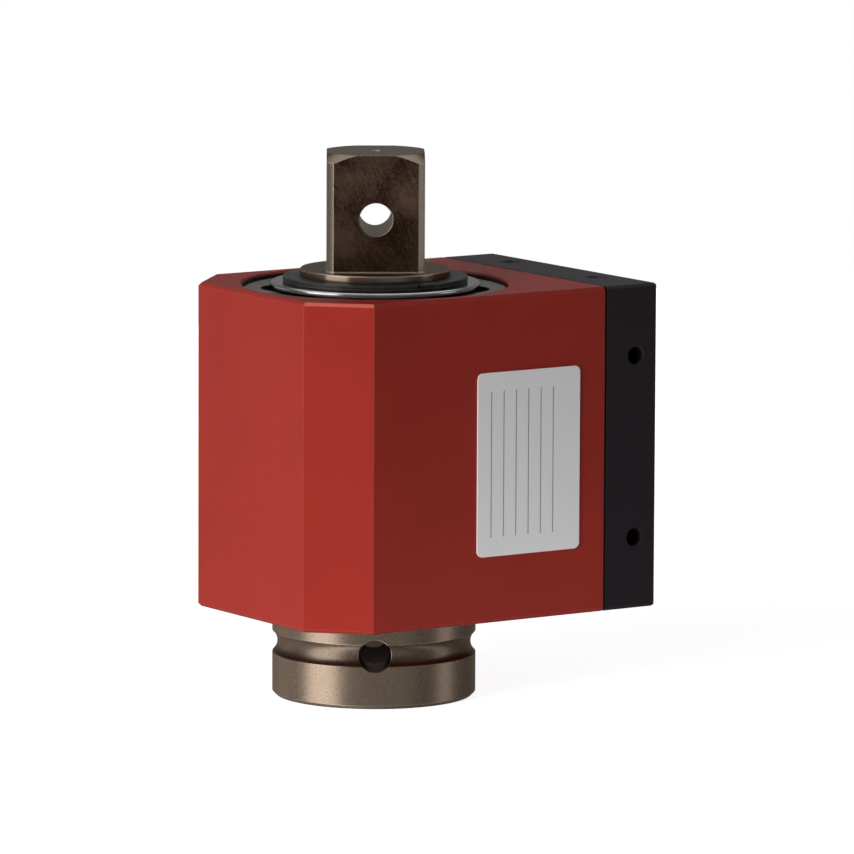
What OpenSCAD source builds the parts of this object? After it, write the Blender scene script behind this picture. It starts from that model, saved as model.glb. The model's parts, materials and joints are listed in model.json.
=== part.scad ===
// Rotary torque sensor with a square drive.
// The origin is on the shaft axis at the underside of the boss. +Z runs up the shaft to the male square,
// and +X runs from the chamfered nose of the housing to its black cover. All sizes are in millimetres.

/* [Housing] */
// Width across the two long sides
body_width = 57.5; // [56:0.5:70]
// Height from the underside to the top
body_height = 64.1; // [62:0.1:84]
// Shaft axis to the chamfered end face
nose_length = 28.9; // [28:0.1:40]
// Shaft axis to the face that carries the cover
joint_offset = 34.8; // [34.5:0.1:45]
// Chamfer of the two upright corners at the nose
corner_chamfer = 9.8; // [2:0.1:12]
// Bevel along the outer edges of the housing and the cover
edge_bevel = 0.6; // [0.2:0.1:1.2]
// Underside of the boss to the underside of the housing
body_lift = 17.1; // [16:0.1:30]
// Thickness of the lip under the lower bearing
lip_thickness = 2.4; // [1.6:0.1:4]
// Metal between the bearing bore and the electronics pocket
pocket_floor = 2; // [1.5:0.1:3]
// Width of the electronics pocket
pocket_width = 40; // [38:0.5:42]
// Metal above and below the electronics pocket
pocket_end_wall = 10; // [9.5:0.1:10.5]
// Corner radius of the electronics pocket
pocket_radius = 3; // [1:0.5:5]

/* [Drive shaft] */
// Drive square across its flats
square_size = 19.05; // [17:0.05:20]
// Length of the male square
square_length = 23; // [19:0.1:30]
// Turned diameter that rounds the corners of the male square
square_corner_diameter = 25.25; // [24:0.05:26.5]
// Diameter of the flat end of the male square
square_tip_diameter = 20.4; // [15:0.1:23]
// Slope of the coned end of the male square, from level
square_tip_slope = 33; // [20:1:45]
// Extra width of the socket over the drive square
socket_clearance = 0.25; // [0.1:0.05:0.5]
// Depth of the socket
socket_depth = 25; // [23:0.5:26]
// Diameter that clips the corners of the socket
socket_corner_diameter = 26.4; // [25.8:0.1:27]
// Diameter of the lathe centre in the end of the male square
centre_diameter = 2.4; // [1:0.1:4]
// Shoulder of either drive to the middle of its cross hole
cross_hole_offset = 10.5; // [8:0.1:12]
// Diameter of the cross holes for the retaining pin
cross_hole_diameter = 6.4; // [4:0.1:8]
// Bevel of the cross hole in the male square
cross_hole_bevel = 0.12; // [0.05:0.01:0.4]
// Diameter of the boss
boss_diameter = 40; // [38.5:0.5:41]
// Width of the groove round the boss
boss_groove_width = 4.35; // [2:0.05:6]
// Depth of the groove round the boss
boss_groove_depth = 1; // [0.4:0.1:2]
// Diameter of the torsion section
torsion_diameter = 25; // [20:0.5:27]
// Fillet radius at the ends of the torsion section
torsion_fillet = 3; // [1:0.5:3.5]
// Height of the collar that the slip rings stand on
collar_height = 2; // [1.5:0.5:4]
// Plain length of shaft between the retaining ring and the male square
land_height = 1.4; // [1:0.1:4]
// Angle of the shaft as drawn, about its axis
shaft_angle = -32.7; // [-180:0.1:180]

/* [Bearings] */
// Outer diameter of both bearings, unless the sleeve between them needs more
bearing_od = 47; // [46:0.5:48.5]
// Bore of the lower bearing
lower_bore = 35; // [34:0.5:36.5]
// Width of the lower bearing
lower_width = 7; // [6.5:0.5:9]
// Number of balls in the lower bearing
lower_ball_count = 17; // [9:1:18]
// Bore of the upper bearing
upper_bore = 30; // [29:0.5:31]
// Width of the upper bearing
upper_width = 9; // [8:0.5:10]
// Number of balls in the upper bearing
upper_ball_count = 13; // [8:1:14]
// Ball diameter, as a share of the space between bore and outside
ball_share = 0.57; // [0.5:0.01:0.62]
// Thickness of the bearing shields
shield_thickness = 0.4; // [0.3:0.05:0.6]
// Height of the wave spring
wave_height = 1.5; // [1:0.1:2.5]
// Number of waves in the wave spring
wave_count = 4; // [3:1:6]

/* [Top seal] */
// Thickness of the bearing nut
nut_thickness = 4.8; // [4:0.1:6]
// Radial step from the bearing bore to the nut's thread
nut_step = 2.5; // [1.5:0.1:2.8]
// Gap between the bearing nut and the dust cap's hub
nut_gap = 1.5; // [0.5:0.1:2]
// Diameter of the two round spanner notches in the nut's bore
notch_diameter = 14.4; // [8:0.2:18]
// Reach of the spanner notches into the nut
notch_reach = 2.9; // [1.5:0.1:3.5]
// Depth of the spanner notches
notch_depth = 3.2; // [1.5:0.1:3.8]
// Angle of the spanner notches about the shaft
notch_angle = -35; // [-180:1:180]
// Gap between the nut and the dust cap above it
cap_gap = 0.5; // [0.3:0.1:1]
// Diameter of the dust cap
cap_diameter = 41.2; // [40:0.1:44]
// Thickness of the dust cap's flange
cap_thickness = 1; // [0.8:0.1:1.6]
// Height of the dust cap above the housing
cap_proud = 0.4; // [0:0.1:1]
// Diameter of the dust cap's hub
cap_hub_diameter = 36; // [34:0.1:37]
// Outer diameter of the retaining ring
ring_diameter = 36.2; // [33:0.1:38]
// Thickness of one of the retaining ring's two turns
ring_turn = 0.57; // [0.4:0.01:0.9]
// Depth of the shaft groove for the retaining ring
ring_groove_depth = 0.8; // [0.5:0.1:1.2]

/* [Slip rings and encoder] */
// Number of slip rings
slip_ring_count = 4; // [2:1:4]
// Width of a slip ring
slip_ring_width = 2; // [1.8:0.1:2.2]
// Width of the barriers between the slip rings
barrier_width = 0.8; // [0.6:0.1:1]
// Diameter of the slip rings
slip_ring_diameter = 38; // [37:0.1:38.4]
// Radial thickness of a slip ring
slip_ring_thickness = 1; // [0.6:0.1:1.4]
// Height of the barriers over the slip rings
barrier_height = 0.6; // [0.3:0.1:0.8]
// Thickness of the encoder hub's flange
hub_flange = 4; // [3.5:0.1:5]
// Wall of the encoder hub above its flange
hub_wall = 1.5; // [1.2:0.1:2]
// Width of the disc's seat on the hub's flange
disc_seat = 1.5; // [1:0.1:2]
// Length of the encoder hub above its flange
hub_spigot = 5.2; // [5:0.1:7]
// Diameter of the encoder disc
disc_diameter = 42.8; // [40:0.1:46]
// Thickness of the encoder disc
disc_thickness = 0.7; // [0.4:0.1:0.9]
// Number of slots in the encoder disc
disc_slots = 72; // [12:1:90]
// Least wall of the spacer sleeve
sleeve_wall = 1.5; // [1.2:0.1:1.6]

/* [Electronics] */
// Height of the posts under the circuit board
post_height = 4; // [3.5:0.1:5]
// Thickness of the circuit board
board_thickness = 1.6; // [1:0.1:2]
// Gap between the circuit board's edge and the pocket
board_margin = 1.5; // [1:0.1:2]
// Width of the brush holder
holder_width = 14; // [10:0.5:16]
// Width of a brush round the ring
brush_width = 3; // [2:0.1:4]
// Length of the brush springs
brush_spring_length = 3.4; // [2.5:0.1:4]
// Width of the encoder reader
reader_width = 10; // [6:0.5:12]

/* [Cover] */
// Thickness of the gasket under the cover
gasket_thickness = 0.5; // [0.3:0.1:1]
// Setback of the gasket's edge
gasket_setback = 0.4; // [0.1:0.1:1]
// Thickness of the cover
cover_thickness = 12.1; // [10.5:0.1:20]
// Step from the electronics pocket to the recess inside the cover
recess_step = 2.5; // [2:0.1:4]
// Metal between the recess and the outer face
cover_wall = 3.5; // [2.5:0.1:4]
// Drilled diameter of the tapped holes round the cover
tapped_diameter = 3.3; // [2.5:0.1:4.2]
// Depth of the tapped holes round the cover
tapped_depth = 7.5; // [4:0.5:8]
// Distance between the two tapped holes in each side
side_hole_spacing = 36; // [30:0.5:42]
// Distance between the two tapped holes in the top and in the bottom
top_hole_spacing = 30; // [20:0.5:34]
// Tapped holes to the outer face of the cover
tapped_inset = 5.1; // [4:0.1:6]
// Cover screws to the nearest edges
screw_inset = 4.8; // [4.6:0.1:6]
// Thread diameter of the cover screws
screw_diameter = 4; // [3:0.5:4]
// Length of the cover screws under their heads
screw_length = 14; // [12:1:16]

/* [Plate] */
// Width of the plate on the long side
plate_width = 24; // [10:0.5:30]
// Height of the plate
plate_height = 36; // [10:0.5:44]
// Thickness of the plate
plate_thickness = 0.25; // [0.1:0.05:0.6]
// Corner radius of the plate
plate_radius = 1.2; // [0.5:0.1:4]
// Shaft axis to the middle of the plate
plate_offset = 16.8; // [5:0.1:18]
// Underside of the housing to the middle of the plate
plate_rise = 31.1; // [24:0.1:34]

/* [Connector] */
// Diameter of the connector where it passes through the cover
barrel_diameter = 14; // [12:0.5:16]
// Diameter of the connector's flange
flange_diameter = 21; // [19:0.5:24]
// Thickness of the connector's flange
flange_thickness = 2.5; // [2:0.1:4]
// Diameter of the connector's front collar
collar_diameter = 16; // [15:0.5:18]
// Length of the connector's front collar
collar_length = 6.5; // [5.5:0.5:8]
// Depth of the insert's face inside the collar
plug_depth = 5; // [4.5:0.5:6]
// Wall of the connector's shell
shell_wall = 0.7; // [0.5:0.1:1]
// Number of contacts round the middle one
contact_count = 6; // [3:1:7]
// Circle of the contacts
contact_circle = 7.2; // [6:0.1:8]
// Diameter of a contact
contact_diameter = 1.5; // [1:0.1:1.8]

/* [Clearances] */
// Gap between pieces that seat on each other
fit_gap = 0.04; // [0.02:0.01:0.06]
// Gap between a moving piece and a fixed one
run_gap = 0.3; // [0.25:0.05:0.4]
// Gap round the balls in their raceways
ball_gap = 0.1; // [0.05:0.01:0.12]

/* [Hidden] */
$fn = 96;
RED = [0.62, 0.17, 0.14];
BLACK = [0.10, 0.09, 0.10];
BURNISHED = [0.34, 0.27, 0.23];
STEEL = [0.72, 0.72, 0.70];
DARK_STEEL = [0.36, 0.37, 0.35];
RUBBER = [0.07, 0.07, 0.07];
BRASS = [0.80, 0.64, 0.32];
SILVER = [0.82, 0.80, 0.79];
RESIN = [0.16, 0.18, 0.20];
GREEN = [0.08, 0.32, 0.16];
far = 200;
cut = 1;

// Sleeve between the bearings, which clears the encoder disc, and the common seat of sleeve and bearings
disc_radius = disc_diameter / 2;
disc_gap = 0.5;
sleeve_inner = disc_radius + disc_gap;
seat_radius = max(bearing_od / 2, sleeve_inner + sleeve_wall);

// A bearing as [bore, outer diameter, width, ball diameter, number of balls]
function bearing(bore, width, count) =
    [bore, 2 * seat_radius, width, ball_share * (seat_radius - bore / 2), count];
lower = bearing(lower_bore, lower_width, lower_ball_count);
upper = bearing(upper_bore, upper_width, upper_ball_count);
land_share = 0.68;
cage_share = 0.5;
cage_gap = 0.6;
shield_inset = 0.15;
shield_seat = 0.5;
bearing_edge = 0.3;

// Levels along the shaft, from the boss to the male square
body_top = body_lift + body_height;
body_middle = body_lift + body_height / 2;
boss_entry = 1.2;
boss_top = body_lift + boss_entry;
lower_bottom = body_lift + lip_thickness;
lower_top = lower_bottom + lower_width;
spring_top = lower_top + wave_height;
journal_run = 1;
journal_top = max(lower_top, socket_depth) + journal_run;
cap_top = body_top + cap_proud;
cap_bottom = cap_top - cap_thickness;
nut_top = cap_bottom - cap_gap;
upper_top = nut_top - nut_thickness;
upper_bottom = upper_top - upper_width;
disc_bottom = upper_bottom - hub_spigot;
disc_top = disc_bottom + disc_thickness;
drum_top = disc_bottom - hub_flange;
slip_ring_pitch = slip_ring_width + barrier_width;
drum_length = slip_ring_count * slip_ring_pitch + barrier_width;
drum_bottom = drum_top - drum_length;
collar_bottom = drum_bottom - collar_height;
ring_height = 2 * ring_turn;
ring_groove_play = 0.06;
square_bottom = cap_top + ring_height + ring_groove_play + land_height;
square_top = square_bottom + square_length;

// Radii of the shaft and of what sits on it
boss_radius = boss_diameter / 2;
boss_bevel = 0.7;
boss_top_bevel = 0.4;
lower_journal = lower_bore / 2 - fit_gap;
upper_journal = upper_bore / 2 - fit_gap;
torsion_radius = torsion_diameter / 2;
land_step = 0.2;
land_radius = upper_journal - land_step;
land_bevel = 0.2;
groove_radius = land_radius - ring_groove_depth;
shoulder_play = 0.25;
lower_shoulder = pitch_radius(lower) - land_half(lower) - shoulder_play;
collar_step = 2;
collar_radius = upper_journal + collar_step;
torsion_round = min(torsion_fillet, collar_radius - torsion_radius, lower_journal - torsion_radius);
torsion_plain = collar_bottom - journal_top - 2 * torsion_round;
socket_size = square_size + socket_clearance;
drum_radius = slip_ring_diameter / 2 - slip_ring_thickness;
barrier_radius = slip_ring_diameter / 2 + barrier_height;

// Bores of the housing, the nut and the encoder's hub
bore_radius = seat_radius + fit_gap;
thread_gap = 0.1;
nut_radius = seat_radius + nut_step;
nut_inner = cap_hub_diameter / 2 + nut_gap;
notch_radius = nut_inner + notch_reach - notch_diameter / 2;
thread_bore = nut_radius + thread_gap;
thread_bevel = 0.4;
lip_gap = 1.25;
lip_radius = max(boss_radius, lower_shoulder) + lip_gap;
spigot_radius = upper_bore / 2 + hub_wall;
hub_radius = spigot_radius + disc_seat;

// Electronics, along X from the bore outwards
pocket_x = bore_radius + pocket_floor;
pocket_height = body_height - 2 * pocket_end_wall;
board_x = pocket_x + post_height;
board_face = board_x + board_thickness;
board_width = pocket_width - 2 * board_margin;
board_height = pocket_height - 2 * board_margin;
post_radius = 2.5;
post_inset = 3;
post_y = board_width / 2 - post_inset;
post_z = board_height / 2 - post_inset;
board_screw_radius = 1.25;
board_screw_length = 4.5;
board_screw_head = 2.2;
board_screw_head_height = 1.6;
board_slot_length = 2.4;
board_slot_width = 0.5;
chip_thickness = 1.4;
window_gap = 0.5;
holder_gap = 0.5;
holder_bottom = drum_bottom - holder_gap;
holder_rise = 0.2;
holder_top = drum_top + holder_rise;
holder_x = barrier_radius + holder_gap;
slot_gap = 0.8;
reader_bottom = holder_top + holder_gap;
reader_arm = 2;
reader_top = disc_top + slot_gap + reader_arm;
reader_x = hub_radius + (disc_radius - hub_radius) / 4;
slot_rim = 0.5;
slot_length = 0.37 * (disc_radius - spigot_radius);
slot_radius = disc_radius - slot_rim - slot_length / 2;
slot_width = 0.34 * 2 * PI * slot_radius / disc_slots;
window_bottom = holder_bottom - window_gap;
window_top = reader_top + window_gap;
window_width = max(holder_width, reader_width) + 2 * window_gap;
brush_margin = 0.2;
brush_height = slip_ring_width - 2 * brush_margin;
brush_play = 0.1;
holder_back = 0.8;
brush_rear = board_x - holder_back - brush_spring_length;
spring_wire = 0.3;
spring_turns = 5;

// Cover and connector, along X
cover_x = joint_offset + gasket_thickness;
cover_face = cover_x + cover_thickness;
recess_x = cover_face - cover_wall;
recess_width = pocket_width - 2 * recess_step;
recess_height = pocket_height - 2 * recess_step;
gasket_radius = 1;
tapped_x = cover_face - tapped_inset;
tapped_mouth = 0.4;
screw_head_radius = 7 / 8 * screw_diameter;
screw_key = 3 / 4 * screw_diameter;
screw_head_height = screw_diameter;
screw_sink = 0.3;
screw_seat = cover_face - screw_sink - screw_head_height;
screw_play = 0.2;
screw_tip_room = 1.5;
screw_y = body_width / 2 - screw_inset;
screw_z = body_height / 2 - screw_inset;
barrel_radius = barrel_diameter / 2;
shell_bore = barrel_radius - shell_wall;
panel_play = 0.1;
connector_nut_height = 2.5;
connector_nut_wall = 2.5;
connector_nut_flats = barrel_diameter + 2 * connector_nut_wall;
barrel_end = 1;
barrel_rear = recess_x - connector_nut_height - barrel_end;
flange_face = cover_face + flange_thickness;
collar_face = flange_face + collar_length;
insert_face = collar_face - plug_depth;
insert_setback = 0.5;
insert_rear = barrel_rear + insert_setback;
contact_tail = 3;
contact_sink = 0.3;
pin_hole_depth = 4;
seal_depth = 0.8;
seal_lip = 0.95;
seal_radius = flange_diameter / 2 - seal_lip;
flange_bevel = 0.5;
collar_bevel = 0.4;

SLIP_RINGS = [for (i = [1:slip_ring_count]) str("slip_ring_", i)];
BRUSHES = [for (i = [1:slip_ring_count]) str("brush_", i)];
BRUSH_SPRINGS = [for (i = [1:slip_ring_count]) str("brush_spring_", i)];

// Pitch radius of a bearing's balls
function pitch_radius(b) = (b[0] + b[1]) / 4;

// Half of the gap between a bearing's two rings
function land_half(b) = land_share * b[3] / 2;

// Middle height of a slip ring, counted from the bottom
function slip_ring_level(i) = drum_bottom + barrier_width + slip_ring_width / 2 + (i - 1) * slip_ring_pitch;

// Points of an arc
function arc(centre, r, from, to, steps) =
    [for (i = [0:steps]) let (a = from + (to - from) * i / steps) centre + r * [cos(a), sin(a)]];

// Rectangle with cut corners, from its low corner to its high one
function cut_rectangle(lo, hi, c) = [
    [lo.x + c, lo.y], [hi.x - c, lo.y], [hi.x, lo.y + c], [hi.x, hi.y - c],
    [hi.x - c, hi.y], [lo.x + c, hi.y], [lo.x, hi.y - c], [lo.x, lo.y + c],
];

// Rectangle with round corners about the origin
function round_rectangle(w, h, r) = concat(
    arc([w / 2 - r, h / 2 - r], r, 0, 90, 6),
    arc([r - w / 2, h / 2 - r], r, 90, 180, 6),
    arc([r - w / 2, r - h / 2], r, 180, 270, 6),
    arc([w / 2 - r, r - h / 2], r, 270, 360, 6)
);

// Triangles of a swept ring of sections: each section has m points, and an open sweep gets end caps
function sweep_faces(n, m, closed) = concat(
    [for (i = [0:n - (closed ? 1 : 2)]) for (j = [0:m - 1])
        for (t = [[[0, 0], [0, 1], [1, 1]], [[0, 0], [1, 1], [1, 0]]])
            [for (p = t) ((i + p[0]) % n) * m + (j + p[1]) % m]],
    closed ? [] : [[for (j = [m - 1:-1:0]) j], [for (j = [0:m - 1]) (n - 1) * m + j]]
);

// Extrudes an outline of Y and Z along X
module along_x(from, to) {
    translate([from, 0, 0]) rotate([90, 0, 90]) linear_extrude(to - from) children();
}

// Cylinder along X at a place in Y and Z
module rod_x(from, to, r, y = 0, z = body_middle) {
    translate([from, y, z]) rotate([0, 90, 0]) cylinder(h = to - from, r = r);
}

// Block with a bevel on all its edges
module bevelled_block(lo, hi, c) {
    intersection() {
        translate([0, 0, lo.z])
            linear_extrude(hi.z - lo.z) polygon(cut_rectangle([lo.x, lo.y], [hi.x, hi.y], c));
        along_x(lo.x, hi.x) polygon(cut_rectangle([lo.y, lo.z], [hi.y, hi.z], c));
        translate([0, hi.y, 0]) rotate([90, 0, 0])
            linear_extrude(hi.y - lo.y) polygon(cut_rectangle([lo.x, lo.z], [hi.x, hi.z], c));
    }
}

// Everything on one side of an upright plane, bevelled at the housing's top and underside
module nose_facet(angle) {
    reach = (nose_length + body_width / 2 - corner_chamfer) / sqrt(2);
    rotate([0, 0, angle]) translate([0, far / 2, 0]) rotate([90, 0, 0])
        linear_extrude(far) polygon(cut_rectangle([-far, body_lift], [reach, body_top], edge_bevel));
}

// The four places of the cover screws
module at_cover_screws() {
    for (y = [-screw_y, screw_y], z = [-screw_z, screw_z]) translate([0, y, body_middle + z]) children();
}

// The four places of the circuit board's posts
module at_posts() {
    for (y = [-post_y, post_y], z = [-post_z, post_z]) translate([0, y, body_middle + z]) children();
}

// Blind hole along +Z with a bevelled mouth at z = 0
module tapped_hole() {
    translate([0, 0, -tapped_depth]) cylinder(h = tapped_depth + cut, d = tapped_diameter);
    translate([0, 0, -tapped_mouth])
        cylinder(h = 2 * tapped_mouth, d1 = tapped_diameter, d2 = tapped_diameter + 4 * tapped_mouth);
}

// Red block with the shaft's bore, the nut's thread, the electronics pocket and its posts
module housing() {
    color(RED) difference() {
        union() {
            difference() {
                intersection() {
                    bevelled_block([-nose_length, -body_width / 2, body_lift],
                        [joint_offset + far, body_width / 2, body_top], edge_bevel);
                    nose_facet(135);
                    nose_facet(225);
                    translate([-far, -far / 2, 0]) cube([far + joint_offset, far, far]);
                }
                along_x(pocket_x, joint_offset + cut) translate([0, body_middle])
                    polygon(round_rectangle(pocket_width, pocket_height, pocket_radius));
            }
            at_posts() rod_x(pocket_x - cut, board_x, post_radius, z = 0);
        }
        translate([0, 0, lower_bottom]) cylinder(h = far, r = bore_radius);
        cylinder(h = far, r = lip_radius);
        translate([0, 0, upper_top]) cylinder(h = far, r = thread_bore);
        translate([0, 0, body_top - thread_bevel])
            cylinder(h = 2 * thread_bevel, r1 = thread_bore, r2 = thread_bore + 2 * thread_bevel);
        translate([0, -window_width / 2, window_bottom])
            cube([pocket_x + cut, window_width, window_top - window_bottom]);
        at_posts() rod_x(board_x - board_screw_length, board_x + cut, board_screw_radius + fit_gap, z = 0);
        at_cover_screws() rod_x(screw_seat - screw_length - screw_tip_room, joint_offset + cut,
            screw_diameter / 2 + fit_gap, z = 0);
    }
}

// Black block over the electronics
module cover_block() {
    color(BLACK) difference() {
        intersection() {
            bevelled_block([cover_x - far, -body_width / 2, body_lift],
                [cover_face, body_width / 2, body_top], edge_bevel);
            translate([cover_x, -far / 2, 0]) cube([far, far, far]);
        }
        along_x(cover_x - cut, recess_x) translate([0, body_middle])
            polygon(round_rectangle(recess_width, recess_height, pocket_radius));
        rod_x(cover_x, cover_face + cut, barrel_radius + panel_play);
        at_cover_screws() {
            rod_x(cover_x - cut, cover_face, screw_diameter / 2 + screw_play, z = 0);
            rod_x(screw_seat, cover_face + cut, screw_head_radius + screw_play, z = 0);
        }
        for (side = [-1, 1], s = [-side_hole_spacing / 2, side_hole_spacing / 2])
            translate([tapped_x, side * body_width / 2, body_middle + s])
                rotate([-90 * side, 0, 0]) tapped_hole();
        for (s = [-top_hole_spacing / 2, top_hole_spacing / 2]) {
            translate([tapped_x, s, body_top]) tapped_hole();
            translate([tapped_x, s, body_lift]) rotate([180, 0, 0]) tapped_hole();
        }
    }
}

// Flat seal between the housing and the cover
module cover_gasket() {
    color(RUBBER) difference() {
        along_x(joint_offset, cover_x) translate([0, body_middle]) difference() {
            polygon(round_rectangle(body_width - 2 * gasket_setback, body_height - 2 * gasket_setback,
                gasket_radius));
            polygon(round_rectangle(pocket_width, pocket_height, pocket_radius));
        }
        at_cover_screws() rod_x(joint_offset - cut, cover_x + cut, screw_diameter / 2 + screw_play, z = 0);
    }
}

// Socket head screws that hold the cover
module cover_screws() {
    color(DARK_STEEL) at_cover_screws() difference() {
        union() {
            rod_x(screw_seat - screw_length, screw_seat, screw_diameter / 2, z = 0);
            rod_x(screw_seat, screw_seat + screw_head_height, screw_head_radius, z = 0);
        }
        translate([screw_seat + screw_head_height / 2, 0, 0]) rotate([0, 90, 0])
            cylinder(h = far, d = screw_key / cos(30), $fn = 6);
    }
}

// Bare plate on the long side
module rating_plate() {
    color(SILVER) translate([plate_offset, -body_width / 2, body_lift + plate_rise]) rotate([90, 0, 0])
        linear_extrude(plate_thickness) polygon(round_rectangle(plate_width, plate_height, plate_radius));
}

// Ring nut that clamps the bearings and the sleeve, with two spanner notches
module bearing_nut() {
    color(DARK_STEEL) difference() {
        translate([0, 0, upper_top]) rotate_extrude()
            polygon(cut_rectangle([nut_inner, 0], [nut_radius, nut_top - upper_top], bearing_edge));
        for (turn = [0, 180]) rotate([0, 0, notch_angle + turn])
            translate([notch_radius, 0, nut_top - notch_depth])
                cylinder(h = notch_depth + cut, d = notch_diameter);
    }
}

// Tube that holds the two outer rings apart, with a window for the brushes and the reader
module spacer_sleeve() {
    color(STEEL) difference() {
        translate([0, 0, spring_top]) cylinder(h = upper_bottom - spring_top, r = seat_radius);
        cylinder(h = far, r = sleeve_inner);
        translate([0, -window_width / 2, window_bottom])
            cube([far, window_width, window_top - window_bottom]);
    }
}

// Wavy ring that preloads the bearings
module wave_spring() {
    strip = 0.4;
    steps = 24 * wave_count;
    swing = (wave_height - strip) / 2 - fit_gap;
    inner = sleeve_inner;
    outer = seat_radius - run_gap;
    section = [[inner, -strip / 2], [outer, -strip / 2], [outer, strip / 2], [inner, strip / 2]];
    points = [for (i = [0:steps - 1]) let (a = 360 * i / steps) for (p = section)
        [p.x * cos(a), p.x * sin(a), p.y + swing * sin(wave_count * a)]];
    color(STEEL) translate([0, 0, lower_top + wave_height / 2])
        polyhedron(points, sweep_faces(steps, len(section), true));
}

// Outer ring of a bearing, with its raceway and the seats of the shields
module outer_ring(b, bottom) {
    land = pitch_radius(b) + land_half(b);
    seat = shield_inset + shield_thickness;
    color(STEEL) translate([0, 0, bottom]) rotate_extrude() difference() {
        polygon(cut_rectangle([land, 0], [b[1] / 2, b[2]], bearing_edge));
        translate([pitch_radius(b), b[2] / 2]) circle(r = b[3] / 2 + ball_gap);
        for (z = [-cut, b[2] - seat]) translate([0, z]) square([land + shield_seat, seat + cut]);
    }
}

// Inner ring of a bearing, with its raceway
module inner_ring(b, bottom) {
    land = pitch_radius(b) - land_half(b);
    color(STEEL) translate([0, 0, bottom]) rotate_extrude() difference() {
        polygon(cut_rectangle([b[0] / 2, 0], [land, b[2]], bearing_edge));
        translate([pitch_radius(b), b[2] / 2]) circle(r = b[3] / 2 + ball_gap);
    }
}

// Balls of a bearing
module balls(b, bottom) {
    color(STEEL) for (i = [0:b[4] - 1]) rotate([0, 0, 360 * i / b[4]])
        translate([pitch_radius(b), 0, bottom + b[2] / 2]) sphere(d = b[3]);
}

// Cage that keeps the balls of a bearing apart
module cage(b, bottom) {
    half = cage_share * land_half(b);
    height = b[2] - 2 * (shield_inset + shield_thickness + cage_gap);
    color(BRASS) difference() {
        translate([0, 0, bottom + (b[2] - height) / 2]) rotate_extrude()
            translate([pitch_radius(b) - half, 0]) square([2 * half, height]);
        for (i = [0:b[4] - 1]) rotate([0, 0, 360 * i / b[4]])
            translate([pitch_radius(b), 0, bottom + b[2] / 2]) sphere(r = b[3] / 2 + ball_gap);
    }
}

// The two shields of a bearing, seated in its outer ring
module shields(b, bottom) {
    inner = pitch_radius(b) - land_half(b) + run_gap;
    outer = pitch_radius(b) + land_half(b) + shield_seat - fit_gap;
    color(DARK_STEEL) for (z = [shield_inset, b[2] - shield_inset - shield_thickness])
        translate([0, 0, bottom + z]) rotate_extrude()
            translate([inner, 0]) square([outer - inner, shield_thickness]);
}

// Half of the shaft's section, from the underside of the boss to the foot of the male square
shaft_section = concat(
    [[0, 0], [boss_radius - boss_bevel, 0], [boss_radius, boss_bevel]],
    [[boss_radius, boss_top - boss_top_bevel], [boss_radius - boss_top_bevel, boss_top]],
    [[lower_shoulder, boss_top], [lower_shoulder, lower_bottom], [lower_journal, lower_bottom]],
    [[lower_journal, journal_top]],
    arc([torsion_radius + torsion_round, journal_top + torsion_round], torsion_round, 270, 180, 8),
    arc([torsion_radius + torsion_round, collar_bottom - torsion_round], torsion_round, 180, 90, 8),
    [[collar_radius, collar_bottom], [collar_radius, drum_bottom], [upper_journal, drum_bottom]],
    [[upper_journal, cap_top - ring_groove_play], [groove_radius, cap_top - ring_groove_play]],
    [[groove_radius, cap_top + ring_height + ring_groove_play]],
    [[land_radius, cap_top + ring_height + ring_groove_play]],
    [[land_radius, square_bottom - land_bevel], [land_radius - land_bevel, square_bottom]],
    [[0, square_bottom]]
);

// Bar across the shaft with sloped sides, as wide as the foot of the male square
module foot_bar(half, foot) {
    rotate([90, 0, 0]) linear_extrude(far, center = true)
        polygon([[-half - foot, square_bottom - cut], [half + foot, square_bottom - cut],
            [half + foot, square_bottom], [half, square_bottom + foot],
            [-half, square_bottom + foot], [-half - foot, square_bottom]]);
}

// Male square with turned corners, a coned end and a small foot where it meets the land
module male_square() {
    foot = 0.25;
    half = square_size / 2;
    corner = square_corner_diameter / 2;
    tip = square_tip_diameter / 2;
    tip_height = (corner - tip) * tan(square_tip_slope);
    intersection() {
        translate([-half, -half, square_bottom - cut]) cube([square_size, square_size, far]);
        rotate_extrude() polygon([[0, square_bottom - cut], [corner, square_bottom - cut],
            [corner, square_top - tip_height], [tip, square_top], [0, square_top]]);
    }
    intersection() {
        foot_bar(half, foot);
        rotate([0, 0, 90]) foot_bar(half, foot);
        translate([0, 0, square_bottom - cut]) cylinder(h = far, r = corner + foot / 2);
    }
}

// Square socket in the boss with clipped corners and a coned mouth
module socket() {
    half = socket_size / 2;
    mouth = 1.35;
    intersection() {
        translate([-half, -half, -cut]) cube([socket_size, socket_size, socket_depth + cut]);
        translate([0, 0, -cut]) cylinder(h = far, d = socket_corner_diameter);
    }
    translate([0, 0, -mouth]) cylinder(h = 2 * mouth, r1 = half + 2 * mouth, r2 = half);
}

// Cross hole through the shaft at a height
module cross_hole(z) {
    translate([0, 0, z]) rotate([90, 0, 0]) cylinder(h = far, d = cross_hole_diameter, center = true);
}

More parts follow.
